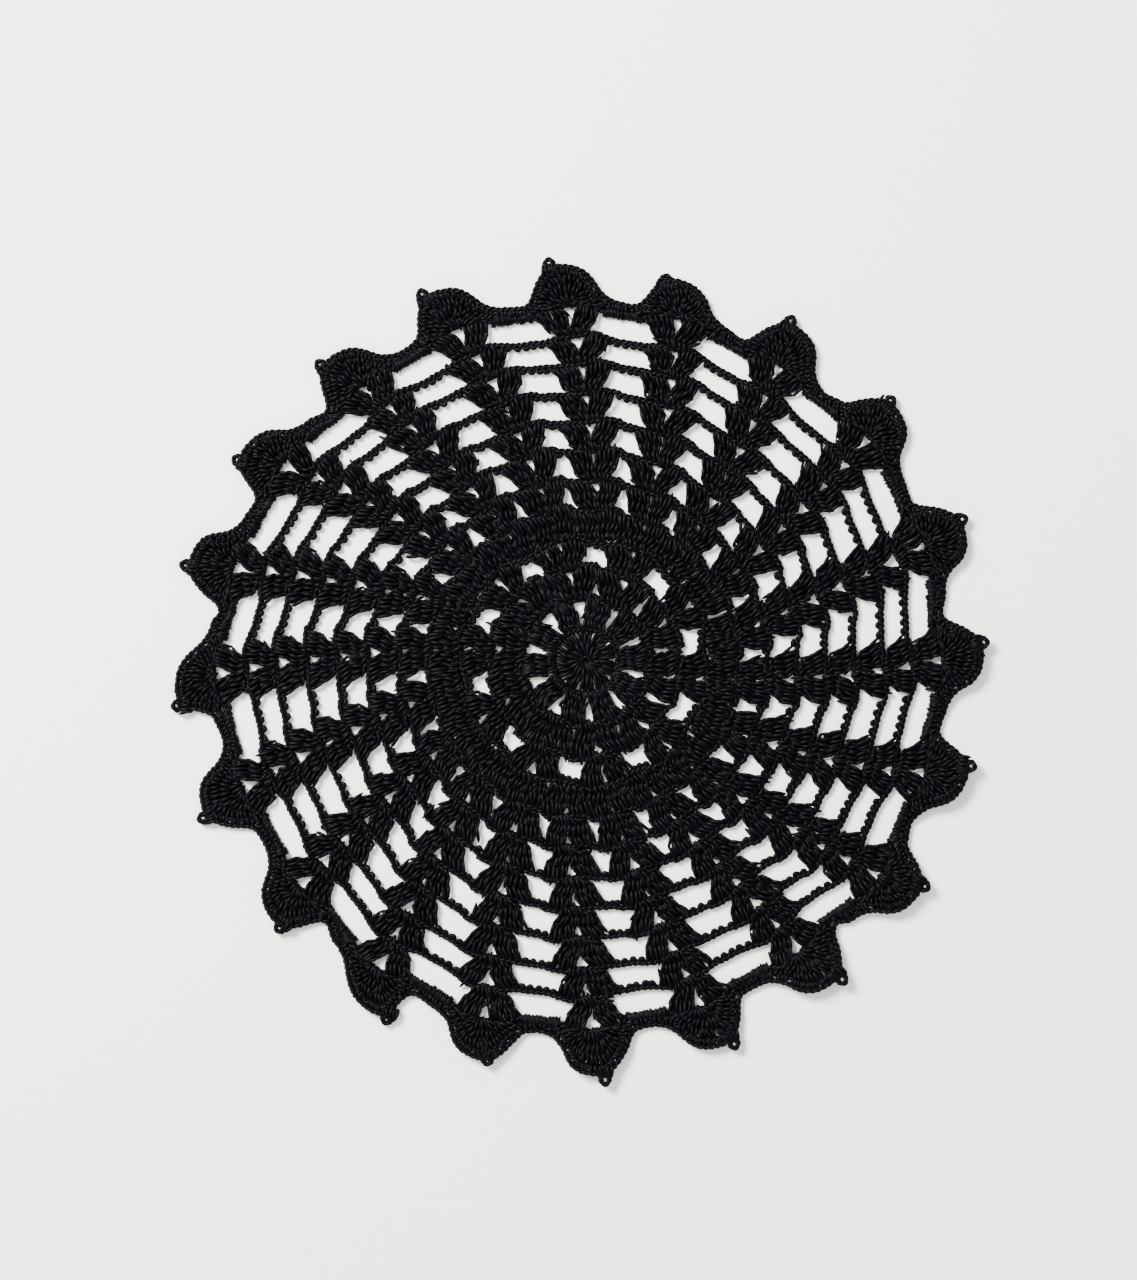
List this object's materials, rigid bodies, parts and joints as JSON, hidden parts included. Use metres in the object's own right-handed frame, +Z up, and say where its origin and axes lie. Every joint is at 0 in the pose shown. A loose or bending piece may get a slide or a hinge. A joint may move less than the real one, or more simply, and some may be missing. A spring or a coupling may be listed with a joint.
{
  "type": "lace doily",
  "caption": "Round openwork crocheted mat with a closed middle, spiralling shell columns joined by chain bars, and a scalloped rim of fans with small picots.",
  "frame": {"origin": "the ring at the middle of the doily, where the work starts, on the flat underside", "axes": "+Z up, out of the doily's upper side; +X and +Y lie in the mat, +X to the right and +Y away from the viewer as pictured from above"},
  "size_m": [0.1922, 0.1944, 0.0039],
  "materials": {
    "thread": "mercerised cotton thread, near black, soft sheen"
  },
  "bodies": {
    "root": {"doily": "thread"}
  },
  "joints": []
}
